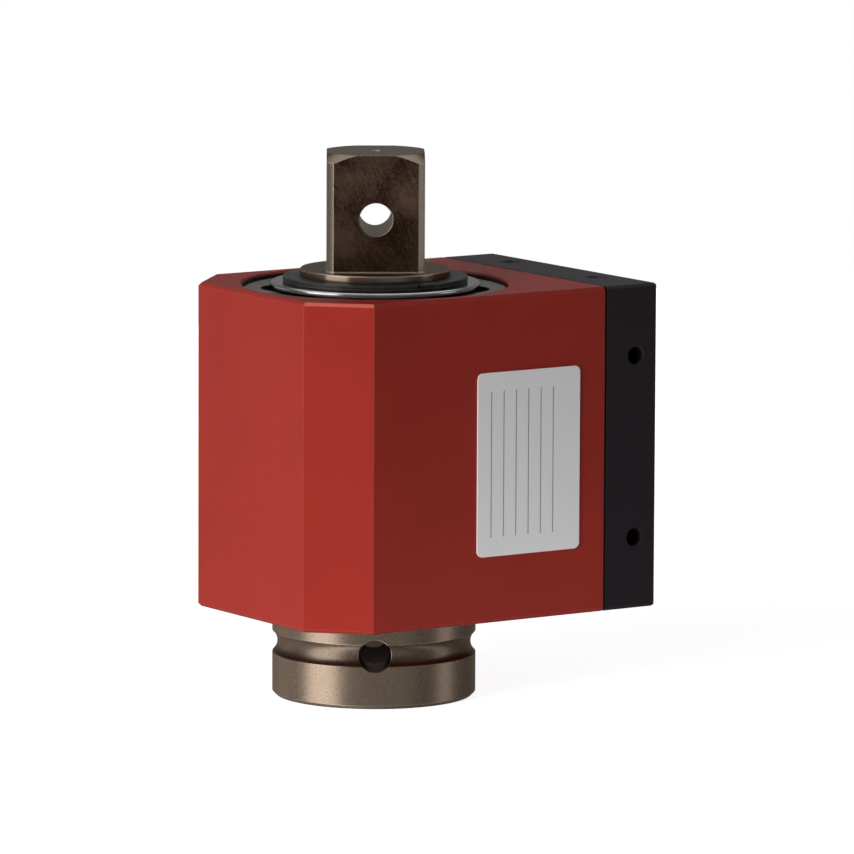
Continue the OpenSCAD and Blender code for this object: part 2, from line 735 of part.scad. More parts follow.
// One-piece shaft: boss with socket, journals, torsion section, land and male square
module drive_shaft() {
    groove_arc = (pow(boss_groove_width / 2, 2) + pow(boss_groove_depth, 2)) / (2 * boss_groove_depth);
    color(BURNISHED) rotate([0, 0, shaft_angle]) difference() {
        union() {
            rotate_extrude() polygon(shaft_section);
            male_square();
        }
        socket();
        cross_hole(cross_hole_offset);
        cross_hole(square_bottom + cross_hole_offset);
        for (turn = [90, -90]) translate([0, 0, square_bottom + cross_hole_offset]) rotate([turn, 0, 0])
            translate([0, 0, square_size / 2 - cross_hole_bevel])
                cylinder(h = 2 * cross_hole_bevel, d1 = cross_hole_diameter,
                    d2 = cross_hole_diameter + 4 * cross_hole_bevel);
        translate([0, 0, square_top - centre_diameter / 2])
            cylinder(h = centre_diameter, d1 = 0, d2 = 2 * centre_diameter);
        translate([0, 0, cross_hole_offset]) rotate_extrude()
            translate([boss_radius + groove_arc - boss_groove_depth, 0]) circle(r = groove_arc);
    }
}

// Bright disc over the nut, with a hub that stands on the upper bearing's inner ring
module dust_cap() {
    edge = cap_thickness / 2;
    rim = cap_diameter / 2 - edge;
    bore = upper_journal + fit_gap;
    color(STEEL) rotate_extrude() polygon(concat(
        [[bore, upper_top], [cap_hub_diameter / 2, upper_top], [cap_hub_diameter / 2, cap_bottom]],
        arc([rim, cap_bottom + edge], edge, -90, 90, 8),
        [[bore, cap_top]]
    ));
}

// Retaining ring wound in two flat turns, with a parting line and the open end of its upper turn
module spiral_ring() {
    end_angle = -96;
    end_gap = 2;
    line_depth = 0.15;
    line_half = 0.04;
    inner = groove_radius + fit_gap;
    outer = ring_diameter / 2;
    color(BLACK) translate([0, 0, cap_top]) difference() {
        rotate_extrude() difference() {
            polygon(cut_rectangle([inner, 0], [outer, ring_height], line_depth));
            translate([outer - line_depth, ring_turn - line_half]) square([1, 2 * line_half]);
        }
        rotate([0, 0, end_angle]) translate([0, 0, ring_turn]) rotate_extrude(angle = end_gap)
            translate([inner + (outer - inner) / 2, 0]) square([outer, ring_height]);
    }
}

// Insulating drum with a barrier on each side of every slip ring
module slip_ring_drum() {
    color(RESIN) difference() {
        translate([0, 0, drum_bottom]) cylinder(h = drum_length, r = barrier_radius);
        cylinder(h = far, r = upper_journal + fit_gap);
        for (i = [1:slip_ring_count])
            translate([0, 0, slip_ring_level(i) - slip_ring_width / 2]) rotate_extrude()
                translate([drum_radius, 0]) square([far, slip_ring_width]);
    }
}

// One slip ring, counted from the bottom
module slip_ring(i) {
    inner = drum_radius + fit_gap;
    color(BRASS) translate([0, 0, slip_ring_level(i) - slip_ring_width / 2 + fit_gap]) rotate_extrude()
        translate([inner, 0]) square([slip_ring_diameter / 2 - inner, slip_ring_width - 2 * fit_gap]);
}

// Hub that carries the encoder disc and stands between the drum and the upper bearing
module encoder_hub() {
    bore = upper_journal + fit_gap;
    color(STEEL) rotate_extrude() polygon([[bore, drum_top], [hub_radius, drum_top],
        [hub_radius, disc_bottom], [spigot_radius, disc_bottom],
        [spigot_radius, upper_bottom], [bore, upper_bottom]]);
}

// Slotted disc that the encoder reader looks through
module encoder_disc() {
    color(STEEL) translate([0, 0, disc_bottom]) difference() {
        cylinder(h = disc_thickness, r = disc_radius);
        translate([0, 0, -cut]) cylinder(h = far, r = spigot_radius + fit_gap);
        for (i = [0:disc_slots - 1]) rotate([0, 0, 360 * i / disc_slots])
            translate([slot_radius - slot_length / 2, -slot_width / 2, -cut])
                cube([slot_length, slot_width, disc_thickness + 2 * cut]);
    }
}

// Four gauges bonded round the torsion section
module strain_gauges() {
    gauge_height = 0.74 * torsion_plain;
    gauge_span = 40;
    gauge_thickness = 0.2;
    color(BRASS) for (turn = [0:90:270]) rotate([0, 0, shaft_angle + turn - gauge_span / 2])
        translate([0, 0, (journal_top + collar_bottom - gauge_height) / 2])
            rotate_extrude(angle = gauge_span)
                translate([torsion_radius + fit_gap / 2, 0]) square([gauge_thickness, gauge_height]);
}

// Insulating block behind the slip rings, with a channel for each brush and its spring
module brush_holder() {
    color(RESIN) difference() {
        translate([holder_x, -holder_width / 2, holder_bottom])
            cube([board_x - holder_x, holder_width, holder_top - holder_bottom]);
        for (i = [1:slip_ring_count])
            translate([0, -brush_width / 2, slip_ring_level(i) - brush_height / 2] - brush_play * [0, 1, 1])
                cube([board_x - holder_back, brush_width + 2 * brush_play, brush_height + 2 * brush_play]);
    }
}

// Brush with a hollow face that follows its slip ring
module brush(i) {
    color(DARK_STEEL) difference() {
        translate([0, -brush_width / 2, slip_ring_level(i) - brush_height / 2])
            cube([brush_rear, brush_width, brush_height]);
        cylinder(h = far, r = slip_ring_diameter / 2 + ball_gap);
    }
}

// Coil spring behind a brush
module brush_spring(i) {
    sides = 6;
    steps = 14 * spring_turns;
    coil = brush_height / 2 - spring_wire / 2;
    rise = brush_spring_length - spring_wire - 2 * fit_gap;
    points = [for (s = [0:steps]) let (a = 360 * spring_turns * s / steps) for (j = [0:sides - 1])
        let (b = 360 * j / sides, r = coil + spring_wire / 2 * cos(b))
            [r * cos(a), r * sin(a), rise * s / steps + spring_wire / 2 * sin(b)]];
    start = brush_rear + spring_wire / 2 + fit_gap;
    color(STEEL) translate([start, 0, slip_ring_level(i)]) rotate([0, 90, 0])
        polyhedron(points, sweep_faces(steps + 1, sides, false));
}

// Fork with a light gate on each side of the encoder disc
module encoder_reader() {
    gate_radius = slot_length / 3;
    gate_depth = 0.5;
    color(BLACK) difference() {
        translate([reader_x, -reader_width / 2, reader_bottom])
            cube([board_x - reader_x, reader_width, reader_top - reader_bottom]);
        translate([0, -reader_width, disc_bottom - slot_gap])
            cube([disc_radius + slot_gap, 2 * reader_width, disc_thickness + 2 * slot_gap]);
        for (y = [-reader_width / 5, reader_width / 5])
            translate([slot_radius, y, disc_bottom - slot_gap - gate_depth])
                cylinder(h = disc_thickness + 2 * (slot_gap + gate_depth), r = gate_radius);
    }
}

// Circuit board on the four posts of the housing
module circuit_board() {
    color(GREEN) difference() {
        along_x(board_x, board_face) translate([0, body_middle])
            polygon(round_rectangle(board_width, board_height, pocket_radius));
        at_posts() rod_x(board_x - cut, board_face + cut, board_screw_radius + brush_play, z = 0);
    }
}

// Screws that hold the circuit board to its posts
module board_screws() {
    color(STEEL) at_posts() difference() {
        union() {
            rod_x(board_x - board_screw_length + fit_gap, board_face, board_screw_radius, z = 0);
            rod_x(board_face, board_face + board_screw_head_height, board_screw_head, z = 0);
        }
        for (turn = [0, 90]) translate([board_face + board_screw_head_height, 0, 0]) rotate([turn, 0, 0])
            cube([board_screw_head_height, board_slot_length, board_slot_width], center = true);
    }
}

// Packages on the outer face of the circuit board as [y, z, width, height], in shares of the board
module board_chips() {
    chips = [
        [0, 0.31, 0.24, 0.22], [0, 0.05, 0.32, 0.1],
        [-0.24, -0.34, 0.16, 0.12], [0.24, -0.34, 0.14, 0.1],
    ];
    color(BLACK) translate([board_face, 0, body_middle]) for (c = chips)
        translate([0, (c[0] - c[2] / 2) * board_width, (c[1] - c[3] / 2) * board_height])
            cube([chip_thickness, c[2] * board_width, c[3] * board_height]);
}

// Socket on the circuit board for the leads to the connector
module board_socket() {
    socket_width = 12;
    socket_height = 5;
    socket_rise = 3;
    drop = board_height / 5;
    way_pitch = 2;
    way_size = 1;
    ways = 5;
    corner = [board_face, -socket_width / 2, body_middle - drop - socket_height / 2];
    color(SILVER) translate(corner) difference() {
        cube([socket_rise, socket_width, socket_height]);
        for (i = [0:ways - 1])
            translate([socket_rise / 2, (socket_width - way_size) / 2 + (i - (ways - 1) / 2) * way_pitch,
                (socket_height - way_size) / 2]) cube([socket_rise, way_size, way_size]);
    }
}

// Turns a profile of radius and X about the connector's axis
module turned_x() {
    translate([0, 0, body_middle]) rotate([0, 90, 0]) rotate_extrude() children();
}

// Shell of the panel connector: rear barrel, flange and front collar
module connector_shell() {
    collar = collar_diameter / 2;
    flange = flange_diameter / 2;
    color(SILVER) turned_x() polygon([
        [shell_bore, barrel_rear], [barrel_radius, barrel_rear],
        [barrel_radius, cover_face + seal_depth], [seal_radius, cover_face + seal_depth],
        [seal_radius, cover_face], [flange, cover_face], [flange, flange_face - flange_bevel],
        [flange - flange_bevel, flange_face], [collar, flange_face], [collar, collar_face - collar_bevel],
        [collar - collar_bevel, collar_face], [shell_bore, collar_face],
    ]);
}

// Seal in the back of the connector's flange
module connector_seal() {
    outer = seal_radius - fit_gap;
    inner = barrel_radius + fit_gap;
    color(RUBBER) turned_x() translate([inner, cover_face]) square([outer - inner, seal_depth - fit_gap]);
}

// Hexagon nut that holds the connector from inside the cover
module connector_nut() {
    color(SILVER) difference() {
        translate([recess_x - connector_nut_height, 0, body_middle]) rotate([0, 90, 0])
            cylinder(h = connector_nut_height, d = connector_nut_flats / cos(30), $fn = 6);
        rod_x(recess_x - far, recess_x + cut, barrel_radius + fit_gap);
    }
}

// The places of the connector's contacts, one in the middle and the rest on a circle
module at_contacts() {
    translate([0, 0, body_middle]) {
        children();
        for (i = [0:contact_count - 1]) rotate([360 * i / contact_count, 0, 0])
            translate([0, 0, contact_circle / 2]) children();
    }
}

// Insulator of the connector, with a key slot in its face
module connector_insert() {
    key_width = 1.4;
    key_depth = 1.2;
    key_length = 2;
    color(BLACK) difference() {
        rod_x(insert_rear, insert_face, shell_bore - fit_gap);
        at_contacts() rod_x(insert_rear - cut, insert_face + cut, contact_diameter / 2 + fit_gap, z = 0);
        translate([insert_face - key_length, -key_width / 2, body_middle + shell_bore - key_depth])
            cube([far, key_width, far]);
    }
}

// Contacts of the connector, bored for the pins of a plug, with tails for the leads
module connector_contacts() {
    tip = insert_face - contact_sink;
    color(BRASS) at_contacts() difference() {
        rod_x(insert_rear - contact_tail, tip, contact_diameter / 2, z = 0);
        rod_x(tip - pin_hole_depth, tip + cut, contact_diameter / 3, z = 0);
    }
}

housing();
cover_block();
cover_gasket();
cover_screws();
rating_plate();
bearing_nut();
spacer_sleeve();
wave_spring();
outer_ring(lower, lower_bottom);  // lower_outer_ring
inner_ring(lower, lower_bottom);  // lower_inner_ring
balls(lower, lower_bottom);  // lower_balls
cage(lower, lower_bottom);  // lower_cage
shields(lower, lower_bottom);  // lower_shields
outer_ring(upper, upper_bottom);  // upper_outer_ring
inner_ring(upper, upper_bottom);  // upper_inner_ring
balls(upper, upper_bottom);  // upper_balls
cage(upper, upper_bottom);  // upper_cage
shields(upper, upper_bottom);  // upper_shields
drive_shaft();
dust_cap();
spiral_ring();
slip_ring_drum();
encoder_hub();
encoder_disc();
strain_gauges();
brush_holder();
encoder_reader();
circuit_board();
board_screws();
board_chips();
board_socket();
connector_shell();
connector_insert();
connector_contacts();
connector_nut();
connector_seal();
for (i = [1:slip_ring_count]) slip_ring(i);
for (i = [1:slip_ring_count]) brush(i);
for (i = [1:slip_ring_count]) brush_spring(i);
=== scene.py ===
"""Looks of a rotary torque sensor: finishes, fine detail, studio light and the photograph's camera."""

import json
import math

import bmesh
import bpy
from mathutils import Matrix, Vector


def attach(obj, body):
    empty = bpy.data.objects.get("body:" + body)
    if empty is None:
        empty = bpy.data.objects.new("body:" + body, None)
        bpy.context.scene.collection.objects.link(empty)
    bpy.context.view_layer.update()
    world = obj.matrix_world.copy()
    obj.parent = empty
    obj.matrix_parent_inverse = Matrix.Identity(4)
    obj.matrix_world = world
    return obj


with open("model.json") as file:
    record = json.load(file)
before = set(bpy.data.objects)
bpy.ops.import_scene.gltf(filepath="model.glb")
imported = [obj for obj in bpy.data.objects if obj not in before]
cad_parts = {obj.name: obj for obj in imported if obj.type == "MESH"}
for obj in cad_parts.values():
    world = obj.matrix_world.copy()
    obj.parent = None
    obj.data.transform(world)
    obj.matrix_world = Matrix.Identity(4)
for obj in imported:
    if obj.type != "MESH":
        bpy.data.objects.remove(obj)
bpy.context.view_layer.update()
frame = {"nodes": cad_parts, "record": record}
NODES = frame["nodes"]
MM = 0.001

# Camera, fitted to the photograph's edges
VIEW_AZIMUTH = math.radians(-33.374)
VIEW_ELEVATION = math.radians(8.124)
VIEW_ROLL = math.radians(0.262)
VIEW_DISTANCE = 1587.4 * MM
VIEW_FOCAL_PIXELS = 8096.7
VIEW_CLIP = (0.05, 50.0)
IMAGE_PIXELS = 854
SENSOR_MM = 36.0
AIM_HEIGHT = 50.16 * MM
AIM_RIGHT = 10.26 * MM
AIM_UP = 2.59 * MM

# Lamps, as azimuth and elevation in degrees, distance and size in metres, and power in watts
KEY_LAMP = (-73.0, 13.0, 1.0, 0.4, 8.1)
BACK_LAMP = (140.0, 7.0, 1.2, 0.6, 9.0)
LAMP_AIM = (0.005, 0.0, AIM_HEIGHT)
AMBIENT = 0.068

# Light that the white table throws up at the three faces in front: place in metres, turn in degrees, width
TABLE_DEPTH = 0.06
TABLE_LIFT = 0.5 * MM
TABLE_GLOW = 0.75
TABLE_LIGHTS = (
    ((0.020, -0.070), 0.0, 0.09),
    ((-0.070, 0.0), -90.0, 0.05),
    ((-0.053, -0.053), -45.0, 0.03),
)

# Surroundings in reflections: a dim room with tall cards. A card has an azimuth, an inner and an outer half
# width in degrees, and a brightness. Those of the room end with the sine of the elevation where they fade
ROOM_DIM = 0.15
CARD_FADE = 0.2
ROOM_CARDS = (
    (-95.0, 17.0, 22.0, 2.3, 0.55),
    (-160.0, 12.0, 25.0, 0.5, 0.05),
    (55.0, 5.0, 15.0, 0.75, 0.35),
    (146.6, 30.0, 60.0, 0.2, 0.3),
)

# The table in reflections, as a wide card below the horizon, and the sines of depression over which it rises
TABLE_CARD = (-93.4, 95.0, 135.0, 0.36)
TABLE_FROM = (0.0, 0.1)

# The ceiling in reflections: the sines of elevation over which it rises, its light and its brighter parts
CEILING_FROM = (0.5, 0.72)
CEILING_LIGHT = 0.45
CEILING_CARDS = ((-123.4, 25.0, 50.0, 1.4), (146.6, 40.0, 60.0, 1.0))

# Floor in metres: half its width, its glow from beside the object to far from it, and the distances of both
FLOOR_HALF = 0.5
FLOOR_GREY = 0.66
FLOOR_GLOW = (0.86, 1.0)
FLOOR_FADE = (0.12, 0.45)

# Levels and radii of the CAD model, in millimetres, that the finishes go by
BORE_RADIUS = 26.1
BORE_FLOOR = 75.3
SHAFT_ANGLE = math.radians(-32.7)
SQUARE_FOOT = 84.45
SQUARE_SHADE = (100.0, 86.0)
LAND_LEVELS = (82.75, 84.0)
LAND_TOP = (84.1, 84.3)
GROOVE_LEVELS = (8.3, 12.7)
SOCKET_LEVELS = (2.0, 25.5)
BOSS_RADIUS = 20.0
GROOVE_RADIUS = 19.0
EDGE_RADIUS = 0.25

# Rules on the plate: the first one's place along X, their pitch and their count, and the heights of their ends
PLATE_RULES = (8.0, 2.9, 6)
PLATE_RULE_ENDS = (34.0, 62.5)

# Thread on the connector's barrel, in millimetres: the barrel's radius and the height of its axis, then the
# thread's start along X, pitch, turns, rise, half width, depth sunk into the barrel, and steps in a turn
BARREL_RADIUS = 8.0
BARREL_HEIGHT = 49.15
THREAD_START = 50.9
THREAD_PITCH = 1.0
THREAD_TURNS = 4
THREAD_RISE = 0.34
THREAD_HALF_WIDTH = 0.46
THREAD_SINK = 0.05
THREAD_STEPS = 96
THREAD_RUNOUT = THREAD_STEPS // 4

# Colours of the burnished shaft
TURNED_DARK, TURNED_LIGHT = (0.25, 0.185, 0.136), (0.41, 0.316, 0.238)
MILLED_DARK, MILLED_LIGHT = (0.05, 0.025, 0.015), (0.22, 0.135, 0.095)
MILLED_FOOT = (0.03, 0.015, 0.009)
# Painted shade in the boss's groove
GROOVE_SHADE = (0.05, 0.038, 0.03)
# Painted shade inside the drive socket
SOCKET_SHADE = (0.045, 0.036, 0.032)
SQUARE_CORNER = (0.25, 0.204, 0.156)
LAND_WALL = (0.21, 0.162, 0.118)
# Painted shade on the land's upward-facing top face
LAND_FACE_SHADE = (0.15, 0.12, 0.105)
# Pale edges of the shaft, partly wear and partly painted highlight
WORN_AND_HIGHLIT_EDGE = (0.72, 0.64, 0.55)


def add_object(name, data):
    thing = bpy.data.objects.new(name, data)
    bpy.context.scene.collection.objects.link(thing)
    return thing


def heading(azimuth, elevation=0.0):
    """Direction of an azimuth and an elevation in degrees: 0 is the front, and 90 the cover's side."""
    a, e = math.radians(azimuth), math.radians(elevation)
    return Vector((math.sin(a) * math.cos(e), -math.cos(a) * math.cos(e), math.sin(e)))


def view_axes():
    """Right, up and back directions of the photograph's camera, before its roll."""
    back = Vector((
        math.sin(VIEW_AZIMUTH) * math.cos(VIEW_ELEVATION),
        -math.cos(VIEW_AZIMUTH) * math.cos(VIEW_ELEVATION),
        math.sin(VIEW_ELEVATION),
    ))
    right = Vector((math.cos(VIEW_AZIMUTH), math.sin(VIEW_AZIMUTH), 0.0))
    return right, back.cross(right), back


def add_camera():
    right, up, back = view_axes()
    data = bpy.data.cameras.new("photo_camera")
    data.sensor_width = SENSOR_MM
    data.lens = VIEW_FOCAL_PIXELS * SENSOR_MM / IMAGE_PIXELS
    data.clip_start, data.clip_end = VIEW_CLIP
    camera = add_object("photo_camera", data)
    middle = Vector((0.0, 0.0, AIM_HEIGHT))
    camera.location = middle + back * VIEW_DISTANCE
    toward = right * AIM_RIGHT + up * AIM_UP - back * VIEW_DISTANCE
    camera.rotation_euler = toward.to_track_quat("-Z", "Y").to_euler()
    camera.rotation_euler.rotate_axis("Z", VIEW_ROLL)
    bpy.context.scene.camera = camera


def add_lamp(name, size, power, place, rotation):
    """Soft lamp that isn't seen itself, also not in reflections."""
    data = bpy.data.lights.new(name, "AREA")
    data.shape = "RECTANGLE"
    data.size, data.size_y = size
    data.energy = power
    lamp = add_object(name, data)
    lamp.location = place
    lamp.rotation_euler = rotation
    lamp.visible_camera = False
    lamp.visible_glossy = False


def add_lights():
    """A large soft lamp on the left, one behind, and the light that a white table throws back up."""
    aim = Vector(LAMP_AIM)
    for name, lamp in (("key_lamp", KEY_LAMP), ("back_lamp", BACK_LAMP)):
        azimuth, elevation, distance, size, power = lamp
        place = aim + heading(azimuth, elevation) * distance
        add_lamp(name, (size, size), power, place, (aim - place).to_track_quat("-Z", "Y").to_euler())
    for i, ((x, y), turn, width) in enumerate(TABLE_LIGHTS, 1):
        power = TABLE_GLOW * math.pi * width * TABLE_DEPTH
        rotation = (math.pi, 0.0, math.radians(turn))
        add_lamp(f"table_light_{i}", (width, TABLE_DEPTH), power, (x, y, TABLE_LIFT), rotation)


class Nodes:
    """Short ways to add and link the nodes of the world or a material."""

    def __init__(self, tree):
        self.tree = tree

    def link(self, value, socket):
        if isinstance(value, bpy.types.NodeSocket):
            self.tree.links.new(value, socket)
        else:
            socket.default_value = value

    def vector(self, operation, a, b=(0.0, 0.0, 0.0), scale=1.0):
        node = self.tree.nodes.new("ShaderNodeVectorMath")
        node.operation = operation
        self.link(a, node.inputs[0])
        self.link(b, node.inputs[1])
        node.inputs[3].default_value = scale
        return node.outputs[1 if operation in ("DOT_PRODUCT", "LENGTH") else 0]

    def math(self, operation, a, b=0.0, clamp=False):
        node = self.tree.nodes.new("ShaderNodeMath")
        node.operation = operation
        node.use_clamp = clamp
        self.link(a, node.inputs[0])
        self.link(b, node.inputs[1])
        return node.outputs[0]

    def component(self, vector, axis):
        node = self.tree.nodes.new("ShaderNodeSeparateXYZ")
        self.tree.links.new(vector, node.inputs[0])
        return node.outputs[axis]

    def span(self, value, low, high, to_low=0.0, to_high=1.0, smooth=False):
        """Maps a value from one range to another, held at the ends."""
        node = self.tree.nodes.new("ShaderNodeMapRange")
        node.interpolation_type = "SMOOTHSTEP" if smooth else "LINEAR"
        self.link(value, node.inputs["Value"])
        names = ("From Min", "From Max", "To Min", "To Max")
        for name, number in zip(names, (low, high, to_low, to_high)):
            node.inputs[name].default_value = number
        return node.outputs[0]

    def within(self, value, low, high, soft=0.1):
        """Share from 0 to 1 that is 1 between two values."""
        return self.math("MULTIPLY", self.span(value, low - soft, low), self.span(value, high + soft, high))


def add_card(nodes, level, azimuth, inner, outer, brightness):
    """Brightness of a tall card in a level direction, soft at its sides."""
    lean = nodes.vector("DOT_PRODUCT", level, heading(azimuth))
    low, high = math.cos(math.radians(outer)), math.cos(math.radians(inner))
    return nodes.span(lean, low, high, 0.0, brightness, smooth=True)


def lit_room(nodes, direction):
    """Brightness of the room, its cards, the table and the ceiling in a direction."""
    level = nodes.vector("NORMALIZE", nodes.vector("MULTIPLY", direction, (1.0, 1.0, 0.0)))
    height = nodes.component(direction, "Z")
    room = ROOM_DIM
    for *card, top in ROOM_CARDS:
        below_top = nodes.math("SUBTRACT", 1.0, nodes.span(height, top, top + CARD_FADE, smooth=True))
        light = nodes.math("MULTIPLY", add_card(nodes, level, *card), below_top)
        room = nodes.math("MAXIMUM", light, room)
    downward = nodes.span(nodes.math("MULTIPLY", height, -1.0), *TABLE_FROM, smooth=True)
    table = nodes.math("MULTIPLY", add_card(nodes, level, *TABLE_CARD), downward)
    room = nodes.math("MAXIMUM", table, room)
    ceiling = CEILING_LIGHT
    for card in CEILING_CARDS:
        ceiling = nodes.math("MAXIMUM", add_card(nodes, level, *card), ceiling)
    ceiling = nodes.math("MULTIPLY", ceiling, nodes.span(height, *CEILING_FROM, smooth=True))
    return nodes.math("MAXIMUM", ceiling, room)


def set_world():
    """World that is white to the camera, a lit room in reflections, and a weak even light otherwise."""
    world = bpy.data.worlds.new("studio")
    bpy.context.scene.world = world
    world.use_nodes = True
    nodes = Nodes(world.node_tree)
    background = nodes.tree.nodes["Background"]
    background.inputs["Color"].default_value = (1.0, 1.0, 1.0, 1.0)
    direction = nodes.tree.nodes.new("ShaderNodeTexCoord").outputs["Generated"]
    path = nodes.tree.nodes.new("ShaderNodeLightPath").outputs
    reflected = nodes.math("MAXIMUM", path["Is Glossy Ray"], path["Is Transmission Ray"])
    shown = nodes.math("MULTIPLY", reflected, lit_room(nodes, direction))
    shown = nodes.math("MAXIMUM", path["Is Camera Ray"], shown)
    nodes.link(nodes.math("MAXIMUM", shown, AMBIENT), background.inputs["Strength"])


class Finish(Nodes):
    """A material under construction, with places in millimetres."""

    def __init__(self, name):
        self.material = bpy.data.materials.new(name)
        self.material.use_nodes = True
        super().__init__(self.material.node_tree)
        self.shader = self.tree.nodes["Principled BSDF"]
        coordinates = self.tree.nodes.new("ShaderNodeTexCoord")
        self.normal = coordinates.outputs["Normal"]
        self.place = self.vector("SCALE", coordinates.outputs["Object"], scale=1.0 / MM)

    def set(self, **values):
        """Sets inputs of the shader by name, with _ for a space."""
        for name, value in values.items():
            self.link(value, self.shader.inputs[name.replace("_", " ")])

    def radius(self):
        """Distance from the shaft's axis."""
        return self.vector("LENGTH", self.vector("MULTIPLY", self.place, (1.0, 1.0, 0.0)))

    def noise(self, scale, detail=2.0, stretch=(1.0, 1.0, 1.0), place=None):
        """Noise with a number of cells per millimetre, stretched along the axes."""
        node = self.tree.nodes.new("ShaderNodeTexNoise")
        node.inputs["Scale"].default_value = scale
        node.inputs["Detail"].default_value = detail
        self.link(self.vector("MULTIPLY", place or self.place, stretch), node.inputs["Vector"])
        return node.outputs["Fac"]

    def blend(self, share, a, b):
        """Mix of two colours."""
        node = self.tree.nodes.new("ShaderNodeMix")
        node.data_type = "RGBA"
        self.link(share, node.inputs["Factor"])
        self.link(a if not isinstance(a, tuple) else (*a, 1.0), node.inputs[6])
        self.link(b if not isinstance(b, tuple) else (*b, 1.0), node.inputs[7])
        return node.outputs[2]

    def bump(self, height, depth_mm, strength=1.0):
        """Bump of a height from 0 to 1, with its depth in millimetres, over any bump set before."""
        node = self.tree.nodes.new("ShaderNodeBump")
        node.inputs["Strength"].default_value = strength
        node.inputs["Distance"].default_value = depth_mm * MM
        self.link(height, node.inputs["Height"])
        before = self.shader.inputs["Normal"]
        if before.is_linked:
            self.tree.links.new(before.links[0].from_socket, node.inputs["Normal"])
        self.tree.links.new(node.outputs["Normal"], before)

    def edge(self, radius_mm):
        """Rounds the look of the piece's edges, and gives a share from 0 to 1 that is high along them."""
        node = self.tree.nodes.new("ShaderNodeBevel")
        node.samples = 6
        node.inputs["Radius"].default_value = radius_mm * MM
        self.tree.links.new(node.outputs["Normal"], self.shader.inputs["Normal"])
        geometry = self.tree.nodes.new("ShaderNodeNewGeometry")
        facing = self.vector("DOT_PRODUCT", node.outputs["Normal"], geometry.outputs["True Normal"])
        return self.span(facing, 0.999, 0.93)


def shade(colour, factor):
    return tuple(c * factor for c in colour)


def anodised(name, colour, edge_wear_and_highlight, roughness, specular):
    """Satin anodised aluminium with a faint milled grain and paler edges, partly wear and partly painted
    highlight.

    A painted highlight is palest on the bevels over the corner facets, and painted shade darkens the side of
    the top bore.
    """
    f = Finish(name)
    # Paler edges, partly wear and partly painted highlight along them
    wear_and_highlight = f.math("MULTIPLY", f.edge(EDGE_RADIUS), 0.3)
    cloud = f.noise(0.06, 3.0)
    grain = f.noise(9.0, 2.0, (1.0, 1.0, 0.25))
    body = f.blend(f.span(cloud, 0.35, 0.65), shade(colour, 0.96), shade(colour, 1.04))
    # Painted highlight: the bevels that face up and sideways over the corner facets get the pale edge colour,
    # as if catching light from above
    sideways = f.vector("DOT_PRODUCT", f.vector("ABSOLUTE", f.normal), (0.5, 0.5, 0.0))
    upward = f.math("MULTIPLY", f.component(f.normal, "Z"), 0.707)
    bevel_highlight = f.span(f.math("ADD", sideways, upward), 0.95, 0.99, 0.0, 0.8)
    radius = f.radius()
    bevel_highlight = f.math("MULTIPLY", bevel_highlight, f.span(radius, BORE_RADIUS + 1.0, BORE_RADIUS + 2.0))
    # Painted shade: the side of the top bore, below its chamfer, is coloured nearly black as if in shadow
    upper = f.span(f.component(f.place, "Z"), BORE_FLOOR - 0.1, BORE_FLOOR)
    bore_shade = f.math("MULTIPLY", upper, f.within(radius, BORE_RADIUS - 0.1, BORE_RADIUS + 0.02, 0.03))
    # The pale edge colour goes on as wear and as painted highlight
    body = f.blend(f.math("MAXIMUM", wear_and_highlight, bevel_highlight), body, edge_wear_and_highlight)
    f.set(Base_Color=f.blend(bore_shade, body, shade(colour, 0.12)))
    f.set(Roughness=f.span(f.noise(1.3, 4.0), 0.3, 0.7, roughness - 0.05, roughness + 0.06))
    f.set(Specular_IOR_Level=specular)
    f.bump(grain, 0.004, 0.35)
    return f.material


def shaft_place(f, lean):
    """Places turned so that the drive square's flats face X and Y, and then leant over on them."""
    place = f.place
    for axis, angle in (("Z_AXIS", -SHAFT_ANGLE), ("Y_AXIS", math.radians(lean))):
        node = f.tree.nodes.new("ShaderNodeVectorRotate")
        node.rotation_type = axis
        node.inputs["Angle"].default_value = angle
        f.tree.links.new(place, node.inputs["Vector"])
        place = node.outputs["Vector"]
    return place


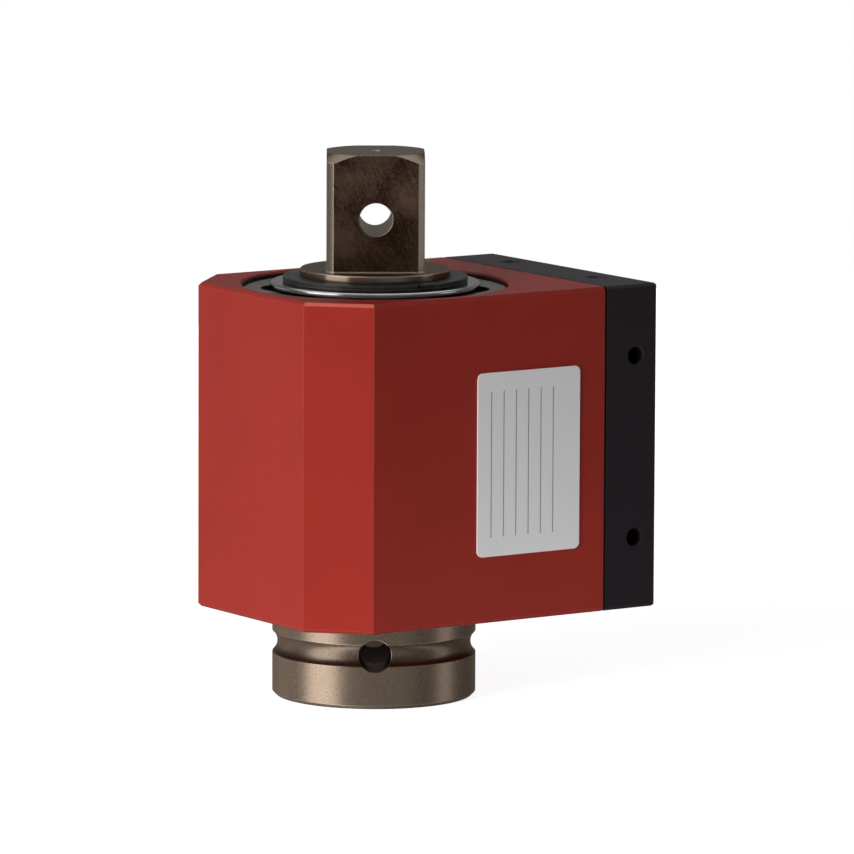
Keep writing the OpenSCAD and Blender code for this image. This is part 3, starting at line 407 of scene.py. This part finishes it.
def burnished_steel():
    """Brown burnished shaft: turned surfaces with fine rings and specks, and darker mottled flats."""
    f = Finish("burnished_steel")
    edges = f.edge(EDGE_RADIUS)
    across = (math.cos(SHAFT_ANGLE), math.sin(SHAFT_ANGLE), 0.0)
    along = (-math.sin(SHAFT_ANGLE), math.cos(SHAFT_ANGLE), 0.0)
    height = f.component(f.place, "Z")
    radius = f.radius()
    upward = f.component(f.normal, "Z")

    # Where the shaft's parts are
    faces = f.math("MAXIMUM", f.math("ABSOLUTE", f.vector("DOT_PRODUCT", f.normal, across)),
                   f.math("ABSOLUTE", f.vector("DOT_PRODUCT", f.normal, along)))
    above = f.span(height, SQUARE_FOOT - 0.1, SQUARE_FOOT)
    flat = f.math("MULTIPLY", f.span(faces, 0.985, 0.995), above)
    land = f.within(height, *LAND_LEVELS)
    land_top_shade = f.math("MULTIPLY", f.within(height, *LAND_TOP), f.span(upward, 0.9, 0.95))
    groove = f.span(radius, BOSS_RADIUS - 0.05, BOSS_RADIUS - 0.3)
    groove = f.math("MULTIPLY", f.within(height, *GROOVE_LEVELS), groove)
    inside = f.span(radius, GROOVE_RADIUS - 0.1, GROOVE_RADIUS - 0.3)
    inside = f.math("MULTIPLY", f.within(height, *SOCKET_LEVELS), inside)

    # Turned surfaces
    turned_lines = f.noise(5.0, 2.0, (0.02, 0.02, 1.0))
    specks = f.noise(3.4, 5.0, (1.0, 1.0, 1.6))
    turned = f.blend(f.span(specks, 0.35, 0.7), TURNED_DARK, TURNED_LIGHT)
    # Painted shade in the boss's groove, darkest where its lower side faces up
    groove_shade = f.math("MULTIPLY", groove, f.span(upward, 0.25, 0.75, 0.35, 0.9))
    turned = f.blend(groove_shade, turned, GROOVE_SHADE)
    # Painted shade inside the socket
    turned = f.blend(f.math("MULTIPLY", inside, 0.85), turned, SOCKET_SHADE)
    turned = f.blend(above, turned, SQUARE_CORNER)
    turned = f.blend(land, turned, LAND_WALL)
    # Painted shade: the land's top face is darker
    turned = f.blend(land_top_shade, turned, LAND_FACE_SHADE)

    # Milled flats, darker towards the foot
    scuffs = f.noise(3.0, 3.0, (1.0, 1.0, 0.14), shaft_place(f, 24.0))
    grain = f.noise(2.4, 4.0)
    cloud = f.noise(0.13, 3.0)
    mottle = f.math("ADD", f.math("MULTIPLY", grain, 0.32), f.math("MULTIPLY", scuffs, 0.2))
    mottle = f.math("ADD", mottle, f.math("MULTIPLY", cloud, 0.48))
    milled = f.blend(f.span(mottle, 0.4, 0.6), MILLED_DARK, MILLED_LIGHT)
    milled = f.blend(f.span(height, *SQUARE_SHADE, 0.0, 0.35), milled, MILLED_FOOT)

    colour = f.blend(flat, turned, milled)
    # Pale edges, partly wear and partly painted highlight
    f.set(Base_Color=f.blend(f.math("MULTIPLY", edges, 0.6), colour, WORN_AND_HIGHLIT_EDGE))
    f.set(Metallic=0.95, Specular_IOR_Level=0.3, Specular_Tint=(0.8, 0.68, 0.6, 1.0))
    rough = f.math("ADD", f.span(specks, 0.3, 0.7, 0.26, 0.36), f.math("MULTIPLY", flat, 0.08))
    smooth = f.math("MULTIPLY", f.math("SUBTRACT", above, flat, clamp=True), 0.1)
    smooth = f.math("ADD", smooth, f.math("MULTIPLY", land, 0.16))
    f.set(Roughness=f.math("SUBTRACT", rough, smooth))
    f.bump(turned_lines, 0.004, 0.4)
    f.bump(scuffs, 0.003, 0.15)
    return f.material


def turned_metal(name, dark, light, roughness, metallic=1.0, lines=0.3, rounding=0.15):
    """Metal turned on a lathe about Z, with fine rings and a cloudy tone."""
    f = Finish(name)
    if rounding:
        f.edge(rounding)
    rings = f.noise(4.0, 2.0, (0.02, 0.02, 1.0))
    f.set(Base_Color=f.blend(f.span(f.noise(0.35, 5.0), 0.35, 0.65), dark, light))
    f.set(Roughness=f.span(f.noise(1.5, 3.0), 0.3, 0.7, roughness - 0.05, roughness + 0.06))
    f.set(Metallic=metallic)
    f.bump(rings, 0.003, lines)
    return f.material


def moulded(name, colour, roughness, metallic=0.0):
    """Moulded or pressed material with a fine grain."""
    f = Finish(name)
    texture = f.noise(4.0, 4.0)
    cloud = f.span(f.noise(0.3, 3.0), 0.35, 0.65)
    f.set(Base_Color=f.blend(cloud, shade(colour, 0.9), shade(colour, 1.1)))
    f.set(Roughness=f.span(texture, 0.3, 0.7, roughness - 0.06, roughness + 0.06), Metallic=metallic)
    f.bump(texture, 0.005, 0.3)
    return f.material


def ruled_plate():
    """White plate with fine grey rules, as for entries by hand."""
    f = Finish("plate_metal")
    first, pitch, count = PLATE_RULES
    along = f.component(f.place, "X")
    row = f.math("PINGPONG", f.math("SUBTRACT", along, first), 0.5 * pitch)
    rows = f.within(along, first - 0.5 * pitch, first + (count - 0.5) * pitch)
    ends = f.within(f.component(f.place, "Z"), *PLATE_RULE_ENDS)
    rule = f.math("MULTIPLY", f.span(row, 0.14, 0.08), f.math("MULTIPLY", rows, ends))
    f.set(Base_Color=f.blend(f.math("MULTIPLY", rule, 0.75), (0.96, 0.95, 0.965), (0.05, 0.05, 0.055)))
    f.set(Roughness=f.span(f.noise(6.0, 3.0), 0.3, 0.7, 0.34, 0.44), Specular_IOR_Level=0.6)
    return f.material


FINISHES = {
    "red_anodised": anodised("red_anodised", (0.355, 0.0265, 0.0168), (0.78, 0.17, 0.125), 0.46, 0.28),
    "black_anodised": anodised("black_anodised", (0.012, 0.007, 0.011), (0.03, 0.026, 0.03), 0.44, 0.3),
    "burnished_steel": burnished_steel(),
    "bright_steel": turned_metal(
        "bright_steel", (0.44, 0.43, 0.44), (0.52, 0.51, 0.52), 0.16, lines=0.05, rounding=0.0),
    "bearing_steel": turned_metal("bearing_steel", (0.45, 0.45, 0.45), (0.56, 0.56, 0.56), 0.20),
    "grey_steel": turned_metal("grey_steel", (0.172, 0.172, 0.158), (0.245, 0.243, 0.225), 0.5),
    "black_steel": turned_metal("black_steel", (0.024, 0.023, 0.023), (0.054, 0.051, 0.05), 0.40, 0.6),
    "nickel_plate": turned_metal("nickel_plate", (0.50, 0.48, 0.44), (0.60, 0.58, 0.54), 0.26),
    "brass": turned_metal("brass", (0.50, 0.33, 0.12), (0.66, 0.46, 0.19), 0.28),
    "plate_metal": ruled_plate(),
    "seal_rubber": moulded("seal_rubber", (0.016, 0.016, 0.017), 0.75),
    "dark_resin": moulded("dark_resin", (0.03, 0.034, 0.04), 0.5),
    "gauge_foil": moulded("gauge_foil", (0.52, 0.30, 0.09), 0.35),
    "black_plastic": moulded("black_plastic", (0.018, 0.018, 0.019), 0.45),
    "board_laminate": moulded("board_laminate", (0.018, 0.11, 0.045), 0.35),
    "pale_plastic": moulded("pale_plastic", (0.62, 0.60, 0.55), 0.45),
    "graphite": moulded("graphite", (0.05, 0.05, 0.053), 0.4, 0.3),
}


def dress_nodes():
    """Gives every carried-over solid the finish of its slot."""
    for part in frame["record"]["subparts"]:
        piece = NODES[part["node"]]
        piece.data.materials.clear()
        piece.data.materials.append(FINISHES[part["material_slot"]])


def add_thread():
    """Thread on the connector's barrel for a plug's coupling ring. It runs out at both ends."""
    count = THREAD_STEPS * THREAD_TURNS
    foot = BARREL_RADIUS - THREAD_SINK
    vertices, faces = [], [(0, 1, 2), (3 * count, 3 * count + 1, 3 * count + 2)]
    for i in range(count + 1):
        angle = 2.0 * math.pi * i / THREAD_STEPS
        middle = THREAD_START + THREAD_PITCH * i / THREAD_STEPS
        crest = BARREL_RADIUS + THREAD_RISE * min(1.0, i / THREAD_RUNOUT, (count - i) / THREAD_RUNOUT)
        for shift, radius in ((-THREAD_HALF_WIDTH, foot), (0.0, crest), (THREAD_HALF_WIDTH, foot)):
            place = (middle + shift, radius * math.cos(angle), BARREL_HEIGHT + radius * math.sin(angle))
            vertices.append(Vector(place) * MM)
        if i:
            a, b = 3 * i - 3, 3 * i
            faces += [(a + j, a + (j + 1) % 3, b + (j + 1) % 3, b + j) for j in range(3)]
    mesh = bpy.data.meshes.new("connector_thread")
    mesh.from_pydata(vertices, [], faces)
    shape = bmesh.new()
    shape.from_mesh(mesh)
    bmesh.ops.recalc_face_normals(shape, faces=shape.faces)
    shape.to_mesh(mesh)
    shape.free()
    mesh.materials.append(FINISHES["nickel_plate"])
    thread = add_object("connector_thread", mesh)
    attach(thread, "housing")


def add_floor():
    """Pale floor that is white to the camera, keeps the object's shadow, and isn't seen in reflections."""
    corners = [(x * FLOOR_HALF, y * FLOOR_HALF, 0.0) for x, y in ((-1, -1), (1, -1), (1, 1), (-1, 1))]
    mesh = bpy.data.meshes.new("floor")
    mesh.from_pydata(corners, [], [(0, 1, 2, 3)])
    floor = add_object("floor", mesh)
    floor.visible_glossy = False
    f = Finish("pale_floor")
    path = f.tree.nodes.new("ShaderNodeLightPath").outputs
    seen = f.math("MAXIMUM", path["Is Camera Ray"], path["Is Transmission Ray"])
    distance = f.vector("LENGTH", f.place)
    glow = f.span(distance, FLOOR_FADE[0] / MM, FLOOR_FADE[1] / MM, *FLOOR_GLOW)
    f.set(Base_Color=(FLOOR_GREY, FLOOR_GREY, FLOOR_GREY, 1.0), Roughness=0.9, Specular_IOR_Level=0.0)
    f.set(Emission_Color=(1.0, 1.0, 1.0, 1.0))
    f.set(Emission_Strength=f.math("MULTIPLY", seen, glow))
    mesh.materials.append(f.material)


bpy.context.scene.view_settings.view_transform = "Standard"
add_camera()
set_world()
add_lights()
add_floor()
dress_nodes()
add_thread()
